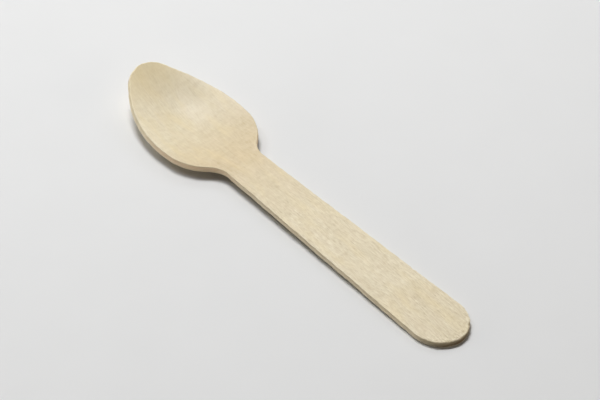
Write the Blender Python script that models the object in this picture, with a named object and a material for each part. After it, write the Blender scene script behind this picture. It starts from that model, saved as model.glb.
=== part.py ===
"""Disposable wooden teaspoon: one piece of birch veneer, cut to its outline and hot pressed.

Metres, +Z up. The spoon lies as it rests on a table, tip towards -X and handle end towards +X.
The mesh is made on the flat blank, whose x runs from the tip (0) to the handle end (LENGTH),
with the handle's top face at z = 0; the object's rotation and location then lay it down.
"""
import math

import bpy
import numpy as np

# The blank
LENGTH = 0.110             # tip to handle end
THICKNESS = 0.0015         # veneer
EDGE_ROUND = 0.0002        # radius left on the cut edges by tumbling

# The bowl's outline
TIP_RADIUS = 0.0065
BOWL_WIDTH = 0.0239
WIDEST_AT = 0.0221         # from the tip to the bowl's widest point
SHOULDER_TURN = math.radians(6.6)   # how far the side arc runs on past the widest point
SHOULDER_RADIUS = 0.0125
NECK_FILLET = 0.0062       # inside radius between shoulder and handle

# The handle's outline
NECK_AFTER_WIDEST = 0.0179  # from the widest point to the neck, where the flat handle starts
NECK_WIDTH = 0.0103
END_WIDTH = 0.0135         # where the rounded end starts
END_ROUNDING = 0.0080      # length of the rounded end

# The pressed bowl
TIP_LIFT = 0.0047          # tip of the rim over the handle's plane
LIFT_RUN = 0.0120          # length over which the lifted rim sinks to about a third
BOWL_DEPTH = 0.0024        # deepest point under the rim beside it
DEEPEST_SHARE = 3 / 7      # where that is, as a share of the way from tip to neck
RUNOUT_POWER = 2.0         # how gently the hollow runs out at the neck
RIM_EASING = 0.5           # how far the hollow's wall flattens towards the rim, 0 to 1

# How finely the curved forms are cut into faces
CHORD_ERROR = 0.000012     # furthest that a facet of the outline cuts inside its arc
HANDLE_STEPS = 6           # facets along each straight side
ROWS = 8                   # rows of faces from the middle line to the edge

NECK_AT = WIDEST_AT + NECK_AFTER_WIDEST
END_ROUND_START = LENGTH - END_ROUNDING


def arc(centre, radius, start, stop):
    """Points on a circle from angle start to angle stop, finer for a larger circle."""
    step = 2 * math.acos(1 - CHORD_ERROR / radius)
    count = max(2, math.ceil(abs(stop - start) / step))
    angles = np.linspace(start, stop, count + 1)
    return np.column_stack([centre[0] + radius * np.cos(angles), centre[1] + radius * np.sin(angles)])


def handle_half_width(x):
    """Half the handle's width at x, along the straight line of its tapering side."""
    share = (x - NECK_AT) / (END_ROUND_START - NECK_AT)
    return (NECK_WIDTH + share * (END_WIDTH - NECK_WIDTH)) / 2


def half_outline():
    """The blank's edge from tip to end on one side: five tangent curves and a straight side."""
    half = BOWL_WIDTH / 2
    tip_centre = np.array([TIP_RADIUS, 0.0])

    # The side arc passes the widest point and meets the tip circle without a corner.
    drop = ((WIDEST_AT - TIP_RADIUS) ** 2 - (half - TIP_RADIUS) ** 2) / (2 * (half - TIP_RADIUS))
    side_radius = half + drop
    side_centre = np.array([WIDEST_AT, -drop])
    towards_tip = tip_centre - side_centre
    tip_angle = math.atan2(towards_tip[1], towards_tip[0])

    # The shoulder arc takes over SHOULDER_TURN past the widest point.
    shoulder_angle = math.pi / 2 - SHOULDER_TURN
    shoulder_centre = side_centre + (side_radius - SHOULDER_RADIUS) * np.array(
        [math.cos(shoulder_angle), math.sin(shoulder_angle)])

    # The neck fillet touches the shoulder circle and the handle's straight side.
    slope = handle_half_width(1.0) - handle_half_width(0.0)
    along = np.array([1.0, slope]) / math.hypot(1.0, slope)
    outward = np.array([-along[1], along[0]])
    on_offset_side = np.array([NECK_AT, handle_half_width(NECK_AT)]) + NECK_FILLET * outward
    to_shoulder = shoulder_centre - on_offset_side
    forward = to_shoulder @ along
    sideways = to_shoulder @ outward
    reach = math.sqrt((SHOULDER_RADIUS + NECK_FILLET) ** 2 - sideways ** 2)
    fillet_centre = on_offset_side + (forward + reach) * along
    to_fillet = fillet_centre - shoulder_centre
    touch_angle = math.atan2(to_fillet[1], to_fillet[0])
    side_angle = math.atan2(slope, 1.0)

    tip = arc(tip_centre, TIP_RADIUS, math.pi, tip_angle)
    side = arc(side_centre, side_radius, tip_angle, shoulder_angle)
    shoulder = arc(shoulder_centre, SHOULDER_RADIUS, shoulder_angle, touch_angle)
    fillet = arc(fillet_centre, NECK_FILLET, touch_angle + math.pi, 1.5 * math.pi + side_angle)

    straight_x = np.linspace(fillet[-1][0], END_ROUND_START, HANDLE_STEPS + 1)
    straight = np.column_stack([straight_x, handle_half_width(straight_x)])

    # The end is half an ellipse drawn on the tapering sides.
    turn = np.linspace(0.0, math.pi / 2, len(tip) + len(shoulder))
    end_x = END_ROUND_START + END_ROUNDING * np.sin(turn)
    end = np.column_stack([end_x, handle_half_width(end_x) * np.cos(turn)])
    return np.vstack([tip, side[1:], shoulder[1:], fillet[1:], straight[1:], end[1:]])


def pressed_height(x, y, half_width):
    """Height of the pressed top face: a rim that lifts to the tip, less a hollow across the bowl."""
    share = np.clip(x / NECK_AT, 0.0, 1.0)
    rim = TIP_LIFT * np.exp(-x / LIFT_RUN) * (1 - share)
    inlet_power = RUNOUT_POWER * DEEPEST_SHARE / (1 - DEEPEST_SHARE)
    deepest = DEEPEST_SHARE ** inlet_power * (1 - DEEPEST_SHARE) ** RUNOUT_POWER
    hollow = BOWL_DEPTH * share ** inlet_power * (1 - share) ** RUNOUT_POWER / deepest
    across = np.divide(y, half_width, out=np.ones_like(y), where=half_width > 0)
    level = np.minimum(across ** 2, 1.0)
    return rim - hollow * (1 - level) * (1 - RIM_EASING * level)


def sheet():
    """Top face of the pressed veneer: rows of faces from the middle line out to the edge."""
    side = half_outline()
    edge = np.vstack([side, (side * [1, -1])[-2:0:-1]])
    first, last = TIP_RADIUS, LENGTH - END_ROUNDING
    middle_x = np.interp(edge[:, 0], [0.0, TIP_RADIUS, last, LENGTH], [first, first, last, last])
    middle = np.column_stack([middle_x, np.zeros(len(edge))])

    # The middle line's points are shared by both sides of the spoon.
    stations, shared = np.unique(middle_x.round(9), return_inverse=True)
    count = len(edge)
    shares = np.arange(1, ROWS + 1) / ROWS
    rings = [middle + share * (edge - middle) for share in shares]
    plan = np.vstack([np.column_stack([stations, np.zeros(len(stations))])] + rings)
    half_width = np.interp(plan[:, 0], side[:, 0], side[:, 1])
    height = pressed_height(plan[:, 0], plan[:, 1], half_width)
    points = np.column_stack([plan, height])

    faces = []
    for k in range(count):
        n = (k + 1) % count
        a, b = int(shared[k]), int(shared[n])
        base = len(stations)
        inner = [a, b] if a != b else [a]
        faces.append(inner + [base + n, base + k])
        for row in range(1, ROWS):
            low = base + (row - 1) * count
            high = low + count
            faces.append([low + k, low + n, high + n, high + k])
    return points, faces


def birch():
    material = bpy.data.materials.new("birch_veneer")
    material.use_nodes = True
    shader = material.node_tree.nodes["Principled BSDF"]
    shader.inputs["Base Color"].default_value = (0.74, 0.65, 0.47, 1.0)
    shader.inputs["Roughness"].default_value = 0.6
    shader.inputs["Metallic"].default_value = 0.0
    material.diffuse_color = (0.74, 0.65, 0.47, 1.0)
    return material


def make_spoon():
    points, faces = sheet()
    mesh = bpy.data.meshes.new("wooden_spoon")
    mesh.from_pydata(points.tolist(), [], faces)
    mesh.validate()
    mesh.shade_smooth()
    mesh.set_sharp_from_angle(angle=math.radians(40))
    mesh.materials.append(birch())
    spoon = bpy.data.objects.new("wooden_spoon", mesh)
    bpy.context.scene.collection.objects.link(spoon)

    wall = spoon.modifiers.new("veneer", 'SOLIDIFY')
    wall.thickness = THICKNESS
    wall.offset = -1.0
    wall.use_even_offset = True
    wall.use_quality_normals = True

    edges = spoon.modifiers.new("tumbled_edges", 'BEVEL')
    edges.width = EDGE_ROUND
    edges.segments = 2
    edges.limit_method = 'ANGLE'
    edges.angle_limit = math.radians(50)
    edges.use_clamp_overlap = False
    return spoon


def finished_points(thing):
    """The object's points after its modifiers, on the flat blank."""
    evaluated = thing.evaluated_get(bpy.context.evaluated_depsgraph_get())
    mesh = evaluated.to_mesh()
    points = np.empty(len(mesh.vertices) * 3)
    mesh.vertices.foreach_get("co", points)
    evaluated.to_mesh_clear()
    return points.reshape(-1, 3)


def turned(points, tilt):
    """Points turned about Y by tilt, handle end down."""
    x, z = points[:, 0], points[:, 2]
    return np.column_stack([
        x * math.cos(tilt) + z * math.sin(tilt),
        points[:, 1],
        z * math.cos(tilt) - x * math.sin(tilt)])


def lay_on_table(spoon):
    """Tilt the spoon until bowl and handle end both touch, and put its box's bottom centre at 0."""
    points = finished_points(spoon)
    bowl = points[points[:, 0] < NECK_AT]
    handle = points[points[:, 0] >= NECK_AT]
    tilt = 0.0
    for _ in range(8):
        bowl_turned = turned(bowl, tilt)
        handle_turned = turned(handle, tilt)
        low_bowl = bowl_turned[bowl_turned[:, 2].argmin()]
        low_end = handle_turned[handle_turned[:, 2].argmin()]
        tilt += math.atan2(low_end[2] - low_bowl[2], low_end[0] - low_bowl[0])
    laid = turned(points, tilt)
    low, high = laid.min(axis=0), laid.max(axis=0)
    spoon.rotation_euler = (0.0, tilt, 0.0)
    spoon.location = (-(low[0] + high[0]) / 2, -(low[1] + high[1]) / 2, -low[2])


for thing in list(bpy.data.objects):
    bpy.data.objects.remove(thing, do_unlink=True)
lay_on_table(make_spoon())
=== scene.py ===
"""Looks of a disposable wooden teaspoon: fine pressed-veneer mesh, birch finish, pale table, soft light."""
import math

import bmesh
import bpy
import mathutils
import numpy as np
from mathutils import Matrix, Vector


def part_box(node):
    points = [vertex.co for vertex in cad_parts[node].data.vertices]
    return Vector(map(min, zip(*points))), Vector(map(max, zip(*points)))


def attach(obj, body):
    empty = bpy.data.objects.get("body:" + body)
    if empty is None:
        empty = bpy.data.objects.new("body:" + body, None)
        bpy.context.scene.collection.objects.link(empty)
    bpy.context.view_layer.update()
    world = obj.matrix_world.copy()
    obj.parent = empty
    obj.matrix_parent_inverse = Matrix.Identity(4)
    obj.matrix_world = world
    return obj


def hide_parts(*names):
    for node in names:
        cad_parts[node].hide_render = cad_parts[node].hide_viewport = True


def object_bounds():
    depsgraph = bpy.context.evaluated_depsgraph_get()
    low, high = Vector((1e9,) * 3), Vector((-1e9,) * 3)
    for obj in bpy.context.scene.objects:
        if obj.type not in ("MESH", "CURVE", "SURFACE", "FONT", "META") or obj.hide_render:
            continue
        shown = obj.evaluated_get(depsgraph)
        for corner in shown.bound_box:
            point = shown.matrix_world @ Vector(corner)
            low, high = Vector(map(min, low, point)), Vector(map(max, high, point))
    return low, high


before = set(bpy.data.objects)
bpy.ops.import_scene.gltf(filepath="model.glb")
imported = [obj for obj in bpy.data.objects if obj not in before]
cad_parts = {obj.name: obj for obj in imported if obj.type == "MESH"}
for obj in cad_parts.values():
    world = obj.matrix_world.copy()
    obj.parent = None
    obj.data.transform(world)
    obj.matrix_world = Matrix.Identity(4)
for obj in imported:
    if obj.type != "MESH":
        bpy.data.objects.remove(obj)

cad_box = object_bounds()
NODE = "wooden_spoon"
MM = 0.001

# The blank, as the solid has it: x runs from the bowl's tip to the handle's end
LENGTH = 110.0 * MM
THICKNESS = 1.5 * MM
TIP_RADIUS = 6.5 * MM
BOWL_WIDTH = 23.9 * MM
WIDEST_AT = 22.1 * MM
SHOULDER_TURN = math.radians(6.6)
SHOULDER_RADIUS = 12.5 * MM
NECK_FILLET = 6.2 * MM
NECK_AT = WIDEST_AT + 17.9 * MM
NECK_WIDTH = 10.3 * MM
END_WIDTH = 13.5 * MM
END_ROUNDING = 8.0 * MM
END_ROUND_START = LENGTH - END_ROUNDING

# The pressed bowl, as the solid has it
TIP_LIFT = 4.7 * MM
LIFT_RUN = 12.0 * MM
BOWL_DEPTH = 2.4 * MM
DEEPEST_SHARE = 3 / 7
RUNOUT_POWER = 2.0
RIM_EASING = 0.5
LEAST_HALF_WIDTH = 0.15 * MM   # taken for the outline's half width where it runs out to nothing
HIGHEST_LEVEL = 1.2            # how far past the rim, 1, the hollow's curve goes on

# What pressing leaves untrue
WAVER = 0.03 * MM              # how far the sheet is from true
CROSS_WAVE = (4.1 * MM, 3.7 * MM)
CROSS_PHASE = (1.0, 0.6)
SLANT_WAVE = (7.3 * MM, 5.9 * MM)
SWAY = 0.09 * MM               # how far the bowl is skewed: shoulders to one side, tip half to the other
SWAY_AT = 21.0 * MM
SWAY_RUN = 8.0 * MM

# The cut edge
EDGE_WANDER = 0.03 * MM        # how far the cut wanders from the outline
WANDER_WAVES = [31 * MM, 17 * MM, 9 * MM, 5.3 * MM, 3.1 * MM, 1.9 * MM]
FRAY_WAVES = [7 * MM, 4.1 * MM, 2.3 * MM, 1.4 * MM, 0.9 * MM]
TOP_CORNER = 0.13 * MM         # radius that tumbling leaves on the top corner
TOP_CORNER_RANGE = (0.06 * MM, 0.7 * MM)
LOW_CORNER = 0.15 * MM         # and on the lower one
LOW_CORNER_RANGE = (0.08 * MM, 0.4 * MM)
CORNER_SPREAD = 0.05 * MM      # how unevenly it leaves them
END_FRAY = 1.6                 # how much more uneven the handle's end is, where the cut crosses the grain
WALL_HOLLOW = 0.02 * MM        # how far the wall between the corners lies in
WALL_SPREAD = 0.6              # how unevenly it does
CUT_STARTS = 0.08 * MM         # how deep under the face its cut colour starts
CUT_FULL = 0.24 * MM

# Small nicks in the cut edge, as places on the blank
NICKS = [(109.6 * MM, -1.6 * MM), (108.9 * MM, -3.3 * MM), (107.6 * MM, -4.9 * MM), (109.9 * MM, 0.9 * MM),
         (109.3 * MM, 3.0 * MM), (108.3 * MM, 4.3 * MM), (0.6 * MM, -2.4 * MM), (63.0 * MM, -5.7 * MM),
         (88.0 * MM, 6.4 * MM)]
NICK_WIDTH = 0.45 * MM
NICK_DEPTH = 0.30 * MM

# How bare the end grain is: at the handle's end, and where the edge of the bowl and neck turns
END_GRAIN_EASE = 0.8
SIDE_GRAIN = 0.4
SIDE_GRAIN_EASE = 3

# The mesh
EDGE_SPACING = 0.37 * MM       # points along the edge
FACE_ROWS = 34                 # rows from the middle line to the corner
CORNER_ROWS = 4
WALL_ROWS = 6
SLOPE_STEP = 0.05 * MM
MERGE_DISTANCE = 0.002 * MM
LAYING_ROUNDS = 8

# The table
TABLE_HALF = 1.5
TABLE_GAP = 0.01 * MM
TABLE_MOTTLE = (60.0, 60.0, 60.0)
TABLE_ROUGHNESS = 0.75

# The photograph's view
VIEW_AZIMUTH = math.radians(48.95)
VIEW_ELEVATION = math.radians(42.8)
VIEW_DISTANCE = 567.7 * MM
VIEW_CENTRE = (-1.24 * MM, 3.50 * MM, 0.0)
LENS = 150.0
SENSOR_WIDTH = 36.0
NEAREST_SEEN = 0.01

# The light: daylight from above, and the warmer light that walls throw back
DAYLIGHT = (0.990, 1.0, 1.004)
WARM_WALL = (1.0, 0.86, 0.72)

random = np.random.default_rng(7)


def added(name, data):
    """A new object of the scene, made of the data."""
    thing = bpy.data.objects.new(name, data)
    bpy.context.scene.collection.objects.link(thing)
    return thing


# Outline and pressed form

def arc(centre, radius, start, stop):
    """Points on a circle, EDGE_SPACING apart along it."""
    count = max(3, round(abs(stop - start) * radius / EDGE_SPACING))
    angles = np.linspace(start, stop, count + 1)
    return np.column_stack([centre[0] + radius * np.cos(angles), centre[1] + radius * np.sin(angles)])


def handle_half_width(x):
    """Half the handle's width: a straight line from the neck to where the end rounds."""
    share = (x - NECK_AT) / (END_ROUND_START - NECK_AT)
    return (NECK_WIDTH + share * (END_WIDTH - NECK_WIDTH)) / 2


def half_outline():
    """One side of the blank: tip circle, side arc, shoulder arc and neck fillet, each tangent to the
    next, then the tapering side, and half an ellipse drawn on the taper for the end."""
    half = BOWL_WIDTH / 2
    tip_centre = np.array([TIP_RADIUS, 0.0])
    drop = ((WIDEST_AT - TIP_RADIUS) ** 2 - (half - TIP_RADIUS) ** 2) / (2 * (half - TIP_RADIUS))
    side_radius = half + drop
    side_centre = np.array([WIDEST_AT, -drop])
    to_tip = tip_centre - side_centre
    tip_angle = math.atan2(to_tip[1], to_tip[0])
    shoulder_angle = math.pi / 2 - SHOULDER_TURN
    shoulder_centre = side_centre + (side_radius - SHOULDER_RADIUS) * np.array(
        [math.cos(shoulder_angle), math.sin(shoulder_angle)])

    slope = handle_half_width(1.0) - handle_half_width(0.0)
    along = np.array([1.0, slope]) / math.hypot(1.0, slope)
    outward = np.array([-along[1], along[0]])
    on_offset_side = np.array([NECK_AT, handle_half_width(NECK_AT)]) + NECK_FILLET * outward
    to_shoulder = shoulder_centre - on_offset_side
    reach = math.sqrt((SHOULDER_RADIUS + NECK_FILLET) ** 2 - (to_shoulder @ outward) ** 2)
    fillet_centre = on_offset_side + (to_shoulder @ along + reach) * along
    to_fillet = fillet_centre - shoulder_centre
    touch = math.atan2(to_fillet[1], to_fillet[0])

    tip = arc(tip_centre, TIP_RADIUS, math.pi, tip_angle)
    side = arc(side_centre, side_radius, tip_angle, shoulder_angle)
    shoulder = arc(shoulder_centre, SHOULDER_RADIUS, shoulder_angle, touch)
    fillet = arc(fillet_centre, NECK_FILLET, touch + math.pi, 1.5 * math.pi + math.atan2(slope, 1.0))
    steps = round((END_ROUND_START - fillet[-1][0]) / EDGE_SPACING)
    straight_x = np.linspace(fillet[-1][0], END_ROUND_START, steps)
    straight = np.column_stack([straight_x, handle_half_width(straight_x)])
    turn = np.linspace(0.0, math.pi / 2, round(END_ROUNDING * math.pi / 2 / EDGE_SPACING))
    end_x = END_ROUND_START + END_ROUNDING * np.sin(turn)
    end = np.column_stack([end_x, handle_half_width(end_x) * np.cos(turn)])
    return np.vstack([tip, side[1:], shoulder[1:], fillet[1:], straight[1:], end[1:]])


SIDE = half_outline()


def height(x, y):
    """The pressed top face over the flat blank: a rim that decays exponentially from the tip, less a
    hollow that is a skewed bump along the bowl times an eased parabola across it, plus two slow waves
    of the sheet: a sine along it times a cosine across it, and a slanting sine."""
    share = np.clip(x / NECK_AT, 0.0, 1.0)
    rim = TIP_LIFT * np.exp(-np.maximum(x, 0.0) / LIFT_RUN) * (1 - share)
    inlet_power = RUNOUT_POWER * DEEPEST_SHARE / (1 - DEEPEST_SHARE)
    deepest = DEEPEST_SHARE ** inlet_power * (1 - DEEPEST_SHARE) ** RUNOUT_POWER
    hollow = BOWL_DEPTH * share ** inlet_power * (1 - share) ** RUNOUT_POWER / deepest
    half_width = np.maximum(np.interp(x, SIDE[:, 0], SIDE[:, 1]), LEAST_HALF_WIDTH)
    level = np.minimum((y / half_width) ** 2, HIGHEST_LEVEL)
    cross = np.sin(x / CROSS_WAVE[0] + CROSS_PHASE[0]) * np.cos(y / CROSS_WAVE[1] + CROSS_PHASE[1])
    slant = np.sin(x / SLANT_WAVE[0] - y / SLANT_WAVE[1])
    return rim - hollow * (1 - level) * (1 - RIM_EASING * level) + WAVER / 2 * (cross + slant)


def lifted(plan):
    """Points of the plan on the pressed face, with the face's unit normals there."""
    x, y = plan[..., 0], plan[..., 1]
    slope_x = (height(x + SLOPE_STEP, y) - height(x - SLOPE_STEP, y)) / (2 * SLOPE_STEP)
    slope_y = (height(x, y + SLOPE_STEP) - height(x, y - SLOPE_STEP)) / (2 * SLOPE_STEP)
    normal = np.stack([-slope_x, -slope_y, np.ones_like(x)], axis=-1)
    normal /= np.linalg.norm(normal, axis=-1, keepdims=True)
    return np.stack([x, y, height(x, y)], axis=-1), normal


def ripple(place, total, wavelengths):
    """Smooth random unevenness round a closed edge: sines of the given wavelengths, unit size."""
    turns = np.maximum(1, np.round(total / np.asarray(wavelengths)))
    phase = random.uniform(0, 2 * math.pi, len(turns))
    waves = np.sin(2 * math.pi * turns[:, None] * place[None, :] / total + phase[:, None])
    return waves.sum(axis=0) / math.sqrt(len(turns) / 2)


def bumps(x, y, places, width):
    """Sum of round bumps of unit height at the given places on the plan."""
    near = [(x - px) ** 2 + (y - py) ** 2 for px, py in places]
    return sum(np.exp(-square / (2 * width ** 2)) for square in near)


def whole_outline():
    """The closed outline, with its outward directions, each point's distance round it and its length."""
    edge = np.vstack([SIDE, (SIDE * [1, -1])[-2:0:-1]])
    ahead = np.roll(edge, -1, axis=0) - np.roll(edge, 1, axis=0)
    ahead /= np.linalg.norm(ahead, axis=1, keepdims=True)
    outward = np.column_stack([-ahead[:, 1], ahead[:, 0]])
    strides = np.linalg.norm(np.roll(edge, -1, axis=0) - edge, axis=1)
    place = np.concatenate([[0.0], np.cumsum(strides)[:-1]])
    return edge, outward, place, strides.sum()


def edge_section(upper, lower, fray):
    """Depths under the face and insets from the cut, for every edge place: a quarter circle over the top
    corner, half a sine wave down the wall, and a quarter circle under the lower corner."""
    upper, lower, fray = upper[:, None], lower[:, None], fray[:, None]
    quarter = np.linspace(0, math.pi / 2, CORNER_ROWS + 1)[1:]
    top_depth = upper * (1 - np.cos(quarter))
    top_inset = upper * (1 - np.sin(quarter))
    drops = np.linspace(0, 1, WALL_ROWS + 1)[None, 1:-1]
    wall_depth = upper + drops * (THICKNESS - lower - upper)
    wall_inset = WALL_HOLLOW * np.sin(math.pi * drops) * (1 + WALL_SPREAD * fray)
    low_turn = np.concatenate([[0.0], quarter[:-1]])
    low_depth = THICKNESS - lower * (1 - np.sin(low_turn))
    low_inset = lower * (1 - np.cos(low_turn))
    depth = np.concatenate([top_depth, wall_depth, low_depth], axis=1)
    inset = np.concatenate([top_inset, wall_inset, low_inset], axis=1)
    return depth, inset


def spoon_grid():
    """The whole skin as a grid: one row of points per step round the edge, and along each row from the
    top face's middle line out over the corner, down the cut wall, and back under to the middle. With it
    go the facts that the finish needs at each point."""
    edge, outward, place, total = whole_outline()

    # The middle line follows the true outline, so that the points of both halves meet on it.
    middle_x = np.clip(edge[:, 0], TIP_RADIUS, END_ROUND_START)
    middle = np.column_stack([middle_x, np.zeros(len(edge))])
    wander = EDGE_WANDER * ripple(place, total, WANDER_WAVES)
    edge = edge + wander[:, None] * outward

    fray = ripple(place, total, FRAY_WAVES)
    low_fray = np.roll(fray, len(fray) // 3)
    nicks = bumps(edge[:, 0], edge[:, 1], NICKS, NICK_WIDTH)
    ragged = 1 + END_FRAY * np.clip((edge[:, 0] - END_ROUND_START) / (END_ROUNDING / 2), 0, 1)
    top_corner = np.clip(TOP_CORNER + CORNER_SPREAD * fray * ragged + NICK_DEPTH * nicks, *TOP_CORNER_RANGE)
    low_corner = np.clip(LOW_CORNER + CORNER_SPREAD * low_fray, *LOW_CORNER_RANGE)

    edge_point, edge_normal = lifted(edge)
    rise = -(edge_normal[:, :2] * outward).sum(axis=1) / edge_normal[:, 2]
    out = np.column_stack([outward, rise])
    out /= np.linalg.norm(out, axis=1, keepdims=True)

    shares = np.sin(np.linspace(0, math.pi / 2, FACE_ROWS + 1))

    def face_plan(corner):
        """Places on the blank from the middle line to the corner's start, closer towards the corner."""
        rim = edge - corner[:, None] * outward
        return middle[:, None, :] + shares[None, :, None] * (rim - middle)[:, None, :]

    top_plan = face_plan(top_corner)
    top_points, _ = lifted(top_plan)
    low_plan = face_plan(low_corner)
    low_points, low_normal = lifted(low_plan)
    low_points = low_points - THICKNESS * low_normal
    depth, inset = edge_section(top_corner, low_corner, fray)
    cut_points = (edge_point[:, None, :] - depth[..., None] * edge_normal[:, None, :]
                  - inset[..., None] * out[:, None, :])
    points = np.concatenate([top_points, cut_points, low_points[:, ::-1]], axis=1)
    off = (points[..., 0] - SWAY_AT) / SWAY_RUN
    points[..., 1] += SWAY * off * np.exp((1 - off ** 2) / 2)

    # Facts for the finish: place in the blank, how bare the cut is, distance from the edge, end grain
    cut_plan = np.broadcast_to(edge[:, None, :], depth.shape + (2,))
    plans = np.concatenate([top_plan, cut_plan, low_plan[:, ::-1]], axis=1)
    zero = np.zeros(top_plan.shape[:2])
    depths = np.concatenate([zero, depth, zero + THICKNESS], axis=1)
    skin_depth = np.minimum(depth, THICKNESS - depth)
    bared = np.clip((skin_depth - CUT_STARTS) / (CUT_FULL - CUT_STARTS), 0, 1)
    cut = np.concatenate([zero, bared, zero], axis=1)
    inner = np.linalg.norm(edge[:, None, :] - top_plan, axis=2)
    from_edge = np.concatenate([inner, np.zeros(depth.shape), inner[:, ::-1]], axis=1)
    facing = np.abs(outward[:, :1])
    at_end = edge[:, :1] > END_ROUND_START - END_ROUNDING / 2
    end_grain = np.where(at_end, facing ** END_GRAIN_EASE, SIDE_GRAIN * facing ** SIDE_GRAIN_EASE)
    return points, {"blank": np.concatenate([plans, depths[..., None]], axis=2), "cut": cut,
                    "from_edge": from_edge, "end_grain": np.broadcast_to(end_grain, cut.shape)}


def turned(points, tilt):
    """Points turned about Y by tilt, handle end down."""
    x, z = points[:, 0], points[:, 2]
    return np.column_stack([x * math.cos(tilt) + z * math.sin(tilt), points[:, 1],
                            z * math.cos(tilt) - x * math.sin(tilt)])


def laid(points):
    """The points tilted until bowl and handle end touch one plane, and set in the solid's box."""
    bowl = points[:, 0] < NECK_AT
    tilt = 0.0
    for _ in range(LAYING_ROUNDS):
        now = turned(points, tilt)
        low_bowl = now[bowl][now[bowl][:, 2].argmin()]
        low_end = now[~bowl][now[~bowl][:, 2].argmin()]
        tilt += math.atan2(low_end[2] - low_bowl[2], low_end[0] - low_bowl[0])
    now = turned(points, tilt)
    low, high = (np.array(corner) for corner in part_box(NODE))
    shift = (low + high - now.min(axis=0) - now.max(axis=0)) / 2
    shift[2] = low[2] - now[:, 2].min()
    return now + shift


def make_spoon():
    """The spoon's mesh from its grid, with the finish's facts as attributes."""
    points, facts = spoon_grid()
    around, across = points.shape[:2]
    index = np.arange(around * across).reshape(around, across)
    near, far = index, np.roll(index, -1, axis=0)
    quads = np.stack([near[:, :-1], far[:, :-1], far[:, 1:], near[:, 1:]], axis=-1).reshape(-1, 4)
    mesh = bpy.data.meshes.new("pressed_spoon")
    mesh.vertices.add(around * across)
    mesh.vertices.foreach_set("co", laid(points.reshape(-1, 3)).astype(np.float32).ravel())
    mesh.loops.add(quads.size)
    mesh.loops.foreach_set("vertex_index", quads.astype(np.int32).ravel())
    mesh.polygons.add(len(quads))
    mesh.polygons.foreach_set("loop_start", np.arange(0, quads.size, 4, dtype=np.int32))
    mesh.update(calc_edges=True)
    for name, values in facts.items():
        many = values.ndim == 3
        layer = mesh.attributes.new(name, 'FLOAT_VECTOR' if many else 'FLOAT', 'POINT')
        layer.data.foreach_set("vector" if many else "value", values.astype(np.float32).ravel())

    # Both halves meet on the middle line, and the rows round each end meet in one point.
    form = bmesh.new()
    form.from_mesh(mesh)
    bmesh.ops.remove_doubles(form, verts=form.verts, dist=MERGE_DISTANCE)
    bmesh.ops.recalc_face_normals(form, faces=form.faces)
    form.to_mesh(mesh)
    form.free()
    mesh.shade_smooth()
    return added("pressed_spoon", mesh)


# Finishes

class Value:
    """A shader socket that takes part in Python arithmetic: each operator adds its Math node."""

    def __init__(self, finish, socket):
        self.finish = finish
        self.socket = socket

    def math(self, operation, *terms):
        return self.finish.make("ShaderNodeMath", {"operation": operation}, dict(enumerate(terms)))

    def __add__(self, other):
        return self.math('ADD', self, other)

    def __sub__(self, other):
        return self.math('SUBTRACT', self, other)

    def __rsub__(self, other):
        return self.math('SUBTRACT', other, self)

    def __mul__(self, other):
        return self.math('MULTIPLY', self, other)


class Finish:
    """The nodes of a material or world."""

    def __init__(self, owner):
        owner.use_nodes = True
        self.nodes = owner.node_tree.nodes
        self.links = owner.node_tree.links
        self.nodes.clear()

    def make(self, kind, settings=None, sockets=None, out=0):
        """Add a node: its settings first, then its sockets' values or links; gives one output."""
        node = self.nodes.new(kind)
        for name, value in (settings or {}).items():
            if name == "stops":
                for place, tone in value[1:-1]:
                    node.color_ramp.elements.new(place)
                for element, (place, tone) in zip(node.color_ramp.elements, value):
                    element.position = place
                    element.color = (tone, tone, tone, 1.0)
            else:
                setattr(node, name, value)
        for key, value in (sockets or {}).items():
            if isinstance(value, Value):
                self.links.new(value.socket, node.inputs[key])
            else:
                node.inputs[key].default_value = value
        return Value(self, node.outputs[out])

    def fact(self, name):
        """A number that the mesh keeps at each point."""
        return self.make("ShaderNodeAttribute", {"attribute_name": name}, out=2)

    def part(self, place, axis):
        """One coordinate of a place: 0, 1 or 2."""
        return self.make("ShaderNodeSeparateXYZ", {}, {"Vector": place}, out=axis)

    def noise(self, place, scale, detail=2.0, roughness=0.5):
        """Noise from 0 to 1 round 0.5, on a stretched copy of place."""
        stretched = self.make("ShaderNodeVectorMath", {"operation": 'MULTIPLY'}, {0: place, 1: scale})
        return self.make("ShaderNodeTexNoise", {}, {
            "Vector": stretched, "Scale": 1.0, "Detail": detail, "Roughness": roughness})

    def ramp(self, value, stops):
        """Grey between stops, each a value and the tone it gets."""
        return self.make("ShaderNodeValToRGB", {"stops": stops}, {"Fac": value})

    def mix(self, factor, one, other):
        """Colour between one and other."""
        return self.make("ShaderNodeMix", {"data_type": 'RGBA'}, {0: factor, 6: one, 7: other}, out=2)

    def output(self, shader, kind="ShaderNodeOutputMaterial"):
        """Make the shader the surface."""
        surface = self.nodes.new(kind)
        self.links.new(shader.socket, surface.inputs["Surface"])


def colour(red, green, blue):
    """A colour given as display values from 0 to 255, made linear."""
    linear = [((v / 255 + 0.055) / 1.055) ** 2.4 for v in (red, green, blue)]
    return (*linear, 1.0)


# The face
BIRCH_PALE = colour(239, 230, 204)
BIRCH_DARK = colour(180, 161, 117)
BIRCH_PINK = colour(221, 203, 171)
BIRCH_HONEY = colour(227, 209, 160)
BIRCH_VESSEL = colour(172, 150, 108)
BIRCH_TAN = colour(238, 205, 162)
BIRCH_GOLD = colour(240, 221, 176)
FACE_ROUGHNESS = 0.45

# The cut edge: sheared above, broken below, straw at the bowl's side that is partly painted light, dark
# where the end grain is bare, with painted shade towards the bottom
BIRCH_SHEARED = colour(220, 203, 166)
BIRCH_BROKEN = colour(235, 221, 191)
BIRCH_LIT_STRAW = colour(237, 209, 171)
BIRCH_END = colour(102, 86, 58)

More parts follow.
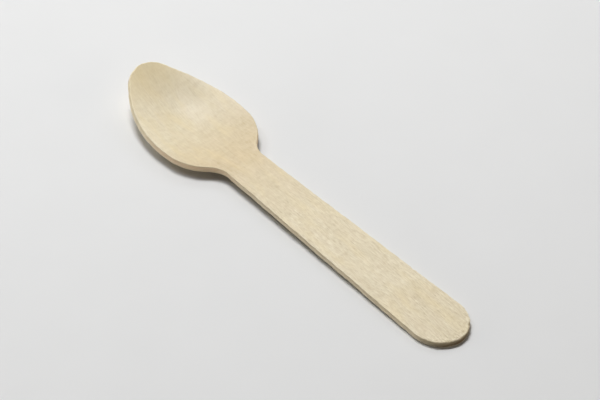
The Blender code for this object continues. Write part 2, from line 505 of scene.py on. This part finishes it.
# The grain
GRAIN_SKEW = math.radians(1.5)
GRAIN_DRIFT = 1.6              # how far the grain bends from side to side at most, in millimetres
FRAY_REACH = 2.6 * MM          # how far torn fibres reach in from the handle's end
RIM_HIGHLIGHT_REACH = 1.0 * MM           # how far the rim looks paler: a painted highlight, partly the tumbled rim's paler wood
RELIEF_HEIGHT = 0.03 * MM
RELIEF_STRENGTH = 0.4

# How much each mark, and each painted shade, counts in the face's tone
FIBRE_TONE = 1.08
THREAD_TONE = 1.4
BAND_TONE = 0.32
CLOUD_TONE = 0.28
RIPPLE_TONE = 0.66
RIPPLE_FADE = 0.3              # how much less the ripple counts on the handle
TORN_TONE = 3.2
BOWL_LEAN_SHADE = 0.26          # painted shade: how much darker the bowl's side towards +y is
# painted shade at the bowl's sides by the shoulders
SHOULDER_SHADE = 0.1
# painted shade over the whole bowl
BOWL_SHADE = 0.02

# How much of each hue shows
PINK_SHARE = 0.5
HONEY_SHARE = 0.35
VESSEL_SHARE = 0.45
RIM_HIGHLIGHT_SHARE = 0.1
TAN_BELOW = 0.57               # tones along the blank that are darker than this go tan
TAN_SHARE = 0.5
GOLD_SHARE = 0.5
# painted light on the bowl's cut, in a warmer straw colour
LIT_STRAW_SHARE = 0.8
END_SHARE = 0.52               # dark of bare end grain at the top corner, partly painted shade
END_SHADE_GAIN = 0.9           # and how much more at the lower one: painted shade

# What changes along the blank, as shares of its length with their tones
# partly the wood's own tone, partly painted light and shade: lightest at the tip, darkest at the neck
TONE_AND_LIGHT_ALONG = [(0.0, 0.81), (0.08, 0.78), (0.13, 0.63), (0.20, 0.50), (0.24, 0.41), (0.29, 0.31),
              (0.335, 0.20), (0.39, 0.37), (0.46, 0.47), (0.55, 0.55), (0.80, 0.58), (0.86, 0.50),
              (0.92, 0.54)]
TIP_ALONG = [(0.02, 1.0), (0.09, 0.0)]
# where the painted shade lies in the bowl, and by its shoulders
BOWL_SHADE_ALONG = [(0.04, 0.0), (0.13, 1.0), (0.19, 1.0), (0.30, 0.2), (0.36, 0.0)]
SHOULDER_SHADE_ALONG = [(0.2, 0.0), (0.27, 1.0), (0.33, 1.0), (0.38, 0.0)]
GRAIN_ALONG = [(0.25, 0.48), (0.42, 0.62), (0.55, 1.0)]
TORN_ALONG = [(0.94, 0.0), (0.975, 1.0)]
# fewer dark layers on the bowl's cut: partly painted light there
LAYERS_ALONG = [(0.3, 0.1), (0.5, 0.5)]
# where the cut at the bowl's side is brighter: painted light, partly a warmer straw colour
LIT_STRAW_ALONG = [(0.14, 0.0), (0.22, 1.0), (0.32, 1.0), (0.40, 0.0)]

# The table's greys
TABLE_LOW = colour(226, 226, 226)
TABLE_HIGH = colour(229, 229, 229)


def birch_face(finish, place, grain, along, fibre, thread, vessel):
    """The face's colour: a tone from fibres, threads, a ripple across the grain, bands, clouds and torn
    fibres at the handle's end, over a tone that changes along and across the bowl as its slope does,
    which is painted light and shade, partly also the wood's own tone; then pink, honey and tan hues,
    and vessels as thin dark dashes."""
    ripple_mark = finish.noise(grain, (0.9, 0.35, 0.35), detail=2.0) - 0.5
    band = finish.noise(grain, (0.04, 0.45, 0.45), detail=2.0) - 0.5
    cloud = finish.noise(place, (0.14, 0.2, 0.2), detail=2.0) - 0.5
    hue = finish.noise(place, (0.2, 0.35, 0.35), detail=1.0)
    honey = finish.ramp(finish.noise(grain, (0.09, 0.3, 0.3), detail=2.0), [(0.48, 0.0), (0.72, 1.0)])
    torn = finish.noise(place, (1.3, 1.3, 1.3), detail=3.0, roughness=0.7) - 0.5

    # painted light and shade along the blank and across the bowl, partly the wood's own tone
    tone_and_light = finish.ramp(along, TONE_AND_LIGHT_ALONG)
    bowl = finish.ramp(along, BOWL_SHADE_ALONG)
    shoulder = finish.ramp(along, SHOULDER_SHADE_ALONG)
    grainy = finish.ramp(along, GRAIN_ALONG)
    across = finish.part(place, 1) * (2 * MM / BOWL_WIDTH)
    from_edge = finish.fact("from_edge")
    frayed = (finish.ramp(from_edge * (1 / FRAY_REACH), [(0.2, 1.0), (1.0, 0.0)])
              * finish.ramp(along, TORN_ALONG))

    streaks = (fibre * FIBRE_TONE + thread * THREAD_TONE + band * BAND_TONE + cloud * CLOUD_TONE) * grainy
    # the tone along the blank and the bowl's terms are painted light and shade, partly the wood's own tone
    tone = (streaks + ripple_mark * (RIPPLE_TONE - grainy * RIPPLE_FADE) + tone_and_light + torn * frayed * TORN_TONE
            - across * bowl * BOWL_LEAN_SHADE - across * across * shoulder * SHOULDER_SHADE - bowl * BOWL_SHADE)
    face = finish.mix(tone, BIRCH_DARK, BIRCH_PALE)
    face = finish.mix(hue * PINK_SHARE, face, BIRCH_PINK)
    face = finish.mix(honey * HONEY_SHARE, face, BIRCH_HONEY)
    face = finish.mix(vessel * grainy * VESSEL_SHARE, face, BIRCH_VESSEL)
    # a painted highlight along the rim, partly the tumbled rim's paler wood
    rim = finish.ramp(from_edge * (1 / RIM_HIGHLIGHT_REACH), [(0.0, 1.0), (1.0, 0.0)])
    face = finish.mix(rim * RIM_HIGHLIGHT_SHARE, face, BIRCH_PALE)
    face = finish.mix((TAN_BELOW - tone_and_light) * TAN_SHARE, face, BIRCH_TAN)
    return finish.mix(finish.ramp(along, TIP_ALONG) * GOLD_SHARE, face, BIRCH_GOLD)


def birch_edge(finish, along, depth, layer):
    """The cut edge's colour: sheared above and broken paler below, in thin layers, straw at the bowl's
    side that is partly painted light, and darker with depth where the end grain is bare, the deepening
    being painted shade."""
    broken = finish.ramp(depth + (layer - 0.5) * 0.5, [(0.38, 0.0), (0.62, 1.0)])
    wall = finish.mix(broken, BIRCH_SHEARED, BIRCH_BROKEN)
    wall = finish.mix((layer - 0.25) * finish.ramp(along, LAYERS_ALONG), wall, BIRCH_END)
    # the cut at the bowl's side made brighter and warmer: partly painted light
    wall = finish.mix(finish.ramp(along, LIT_STRAW_ALONG) * LIT_STRAW_SHARE, wall, BIRCH_LIT_STRAW)
    # darker where the end grain is bare, and more so towards the lower corner: painted shade
    bare_and_shaded = finish.fact("end_grain") * (depth * END_SHADE_GAIN + END_SHARE)
    return finish.mix(bare_and_shaded, wall, BIRCH_END)


def birch():
    """Birch veneer, its noises in millimetres of the blank and stretched along the grain, which runs
    along x, a little skewed and bent. Fibres and threads stand up in the relief, vessels lie in it, and
    the cut edge shows its layers; the cut is rougher than the face."""
    material = bpy.data.materials.new("pressed_birch")
    finish = Finish(material)
    blank = finish.make("ShaderNodeAttribute", {"attribute_name": "blank"}, out=1)
    place = finish.make("ShaderNodeMapping", {}, {
        "Vector": blank, "Rotation": (0.0, 0.0, GRAIN_SKEW), "Scale": (1 / MM,) * 3})
    along = finish.part(place, 0) * (MM / LENGTH)
    depth = finish.part(place, 2) * (MM / THICKNESS)
    bend = finish.noise(place, (0.05, 0.16, 0.16), detail=1.0)
    drift = finish.make("ShaderNodeCombineXYZ", {}, {"Y": (bend - 0.5) * GRAIN_DRIFT})
    grain = finish.make("ShaderNodeVectorMath", {"operation": 'ADD'}, {0: place, 1: drift})

    fibre = finish.noise(grain, (0.32, 1.7, 1.7), detail=3.0, roughness=0.65) - 0.5
    thread = finish.noise(grain, (0.62, 3.6, 3.6), detail=2.0, roughness=0.7) - 0.5
    vessel = finish.ramp(finish.noise(grain, (0.5, 4.5, 4.5), detail=1.0), [(0.29, 1.0), (0.38, 0.0)])
    layer = finish.noise(grain, (0.25, 1.5, 7.0), detail=3.0, roughness=0.65)

    cut = finish.fact("cut")
    face = birch_face(finish, place, grain, along, fibre, thread, vessel)
    skin = finish.mix(cut, face, birch_edge(finish, along, depth, layer))
    rough = fibre * 0.2 + cut * 0.2 + FACE_ROUGHNESS
    relief = fibre * 0.6 + thread * 0.4 - vessel * 0.4 + layer * cut * 1.5
    normal = finish.make("ShaderNodeBump", {}, {
        "Strength": RELIEF_STRENGTH, "Distance": RELIEF_HEIGHT, "Height": relief})
    finish.output(finish.make("ShaderNodeBsdfPrincipled", {}, {
        "Base Color": skin, "Roughness": rough, "Normal": normal}))
    return material


def table_top():
    """A pale, dull grey with a faint mottle."""
    material = bpy.data.materials.new("pale_table")
    finish = Finish(material)
    place = finish.make("ShaderNodeTexCoord", out=3)
    tone = finish.mix(finish.noise(place, TABLE_MOTTLE, detail=2.0), TABLE_LOW, TABLE_HIGH)
    finish.output(finish.make("ShaderNodeBsdfPrincipled", {}, {
        "Base Color": tone, "Roughness": TABLE_ROUGHNESS}))
    return material


def make_table():
    """A flat square under the spoon."""
    low, high = -TABLE_HALF, TABLE_HALF
    base = cad_box[0][2] - TABLE_GAP
    mesh = bpy.data.meshes.new("table")
    mesh.from_pydata([(low, low, base), (high, low, base), (high, high, base), (low, high, base)],
                     [], [(0, 1, 2, 3)])
    mesh.materials.append(table_top())
    table = added("table", mesh)


# Light and camera

def from_camera(right, away, up):
    """A place, in metres to the right of the spoon, away from the camera and up, as the camera sees it."""
    to_right = np.array([math.cos(VIEW_AZIMUTH), math.sin(VIEW_AZIMUTH), 0.0])
    to_far = np.array([-math.sin(VIEW_AZIMUTH), math.cos(VIEW_AZIMUTH), 0.0])
    return right * to_right + away * to_far + np.array([0.0, 0.0, up])


def aim(thing, place, centre):
    """Put a lamp or camera at place, looking at centre."""
    thing.location = place
    look = mathutils.Vector(np.array(centre) - np.array(place))
    thing.rotation_euler = look.to_track_quat('-Z', 'Y').to_euler()


def softbox(name, place, width, height, power, tint):
    """A lamp with an even oblong face, aimed at the spoon from a place as from_camera takes it.
    Sizes are in metres and power is in watts."""
    lamp = bpy.data.lights.new(name, 'AREA')
    lamp.shape = 'RECTANGLE'
    lamp.size = width
    lamp.size_y = height
    lamp.energy = power
    lamp.color = tint
    thing = added(name, lamp)
    thing.visible_camera = False
    aim(thing, from_camera(*place), (0.0, 0.0, 0.0))


def light_scene():
    """A soft key overhead with a weak fill to its left, a broad lamp behind for the sheen, and low, dim
    lamps: two for the room's warm walls and one for daylight along the table."""
    softbox("key", (-0.12, 0.31, 0.70), 0.28, 0.17, 4.55, DAYLIGHT)
    softbox("behind", (0.14, 0.90, 0.70), 1.00, 0.25, 2.15, DAYLIGHT)
    softbox("left_high", (-0.50, 0.20, 0.70), 0.20, 0.20, 0.95, DAYLIGHT)
    softbox("right_wall", (1.10, -0.40, 0.28), 1.20, 0.60, 3.2, WARM_WALL)
    softbox("left_wall", (-0.98, 0.60, 0.25), 0.90, 0.50, 1.4, WARM_WALL)
    softbox("left_low", (-0.95, -0.35, 0.13), 0.90, 0.18, 1.6, DAYLIGHT)


def pale_surround():
    """A world that lights nothing and shows as a pale wall to the camera and in reflections."""
    world = bpy.data.worlds.new("studio")
    finish = Finish(world)
    camera, glossy, transmission = (finish.make("ShaderNodeLightPath", out=ray) for ray in (
        "Is Camera Ray", "Is Glossy Ray", "Is Transmission Ray"))
    unlit = finish.make("ShaderNodeBackground", {}, {"Strength": 0.0})
    pale = finish.make("ShaderNodeBackground", {}, {"Color": TABLE_HIGH})
    seen = camera + glossy + transmission
    surround = finish.make("ShaderNodeMixShader", {}, {0: seen, 1: unlit, 2: pale})
    finish.output(surround, "ShaderNodeOutputWorld")
    bpy.context.scene.world = world


def make_camera():
    """The camera where the photograph was taken from."""
    lens = bpy.data.cameras.new("camera")
    lens.sensor_width = SENSOR_WIDTH
    lens.lens = LENS
    lens.clip_start = NEAREST_SEEN
    thing = added("camera", lens)
    back = from_camera(0.0, -math.cos(VIEW_ELEVATION), math.sin(VIEW_ELEVATION))
    aim(thing, np.array(VIEW_CENTRE) + VIEW_DISTANCE * back, VIEW_CENTRE)
    bpy.context.scene.camera = thing


spoon = make_spoon()
spoon.data.materials.append(birch())
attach(spoon, "root")
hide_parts(NODE)
make_table()
light_scene()
pale_surround()
make_camera()
bpy.context.scene.view_settings.view_transform = 'Standard'
